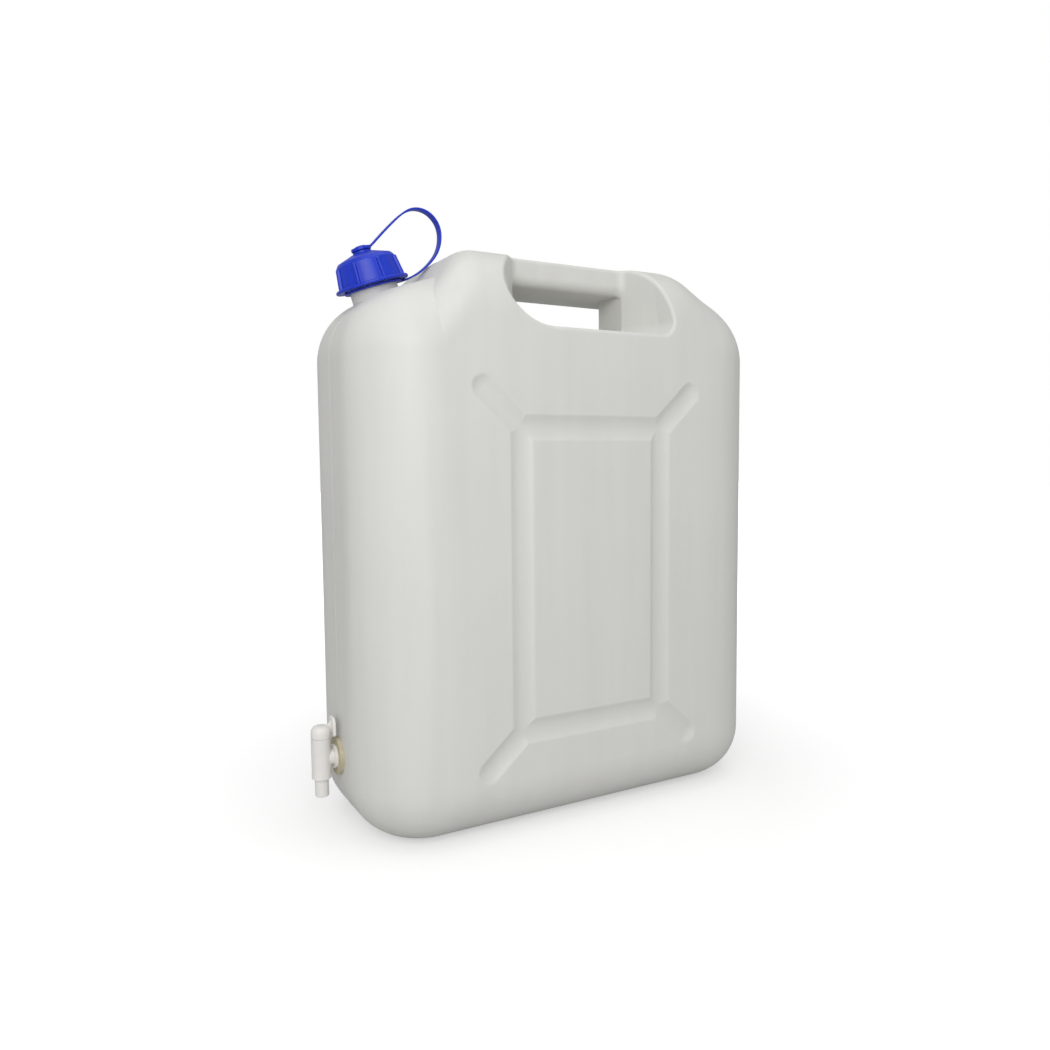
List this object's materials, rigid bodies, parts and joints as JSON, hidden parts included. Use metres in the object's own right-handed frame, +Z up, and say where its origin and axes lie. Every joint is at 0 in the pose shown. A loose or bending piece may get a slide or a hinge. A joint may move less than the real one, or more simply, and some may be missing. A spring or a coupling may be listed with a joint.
{
  "type": "water jerrycan",
  "caption": "Blow-moulded water can with a side handle bar, tilted screw-capped neck on a tether strap and a turning drain tap",
  "frame": {"origin": "middle of the can's flat base, on the surface it stands on", "axes": "+Z up, +X along the wide face away from the neck and the tap, -Y towards the viewer of the wide front face"},
  "size_m": [0.3833, 0.164, 0.4791],
  "materials": {
    "natural_plastic": "satin, milky translucent polyethylene",
    "blue_plastic": "semi-gloss moulded blue",
    "liner": "soft white foam liner",
    "tap_plastic": "satin moulded off-white",
    "gasket_rubber": "matt yellowed rubber"
  },
  "bodies": {
    "can": {"can_body": "natural_plastic", "cap_tether": "blue_plastic", "tap_body": "tap_plastic", "tap_gasket": "gasket_rubber", "tap_lock_nut": "tap_plastic"},
    "cap_carrier": {"cap_seal": "liner"},
    "cap": {"screw_cap": "blue_plastic"},
    "tap_plug": {"tap_plug": "tap_plastic"}
  },
  "joints": [
    {"name": "cap_lift", "type": "slide", "parent": "can", "child": "cap_carrier", "axis": [-0.304, 0, 0.9527], "range_m": [0, 0.00735], "deforming": ["cap_tether"]},
    {"name": "cap_turn", "type": "hinge", "parent": "cap_carrier", "child": "cap", "pos_m": [-0.1457, 0, 0.4161], "axis": [-0.304, 0, 0.9527], "range_deg": [0, 632]},
    {"name": "tap_turn", "type": "hinge", "parent": "can", "child": "tap_plug", "pos_m": [-0.195, 0, 0.0595], "axis": [0, 0, 1], "range_deg": [0, 90]}
  ],
  "couplings": [
    {"joint": "cap_turn", "follows": "cap_lift", "rad_per_m": 1496}
  ]
}
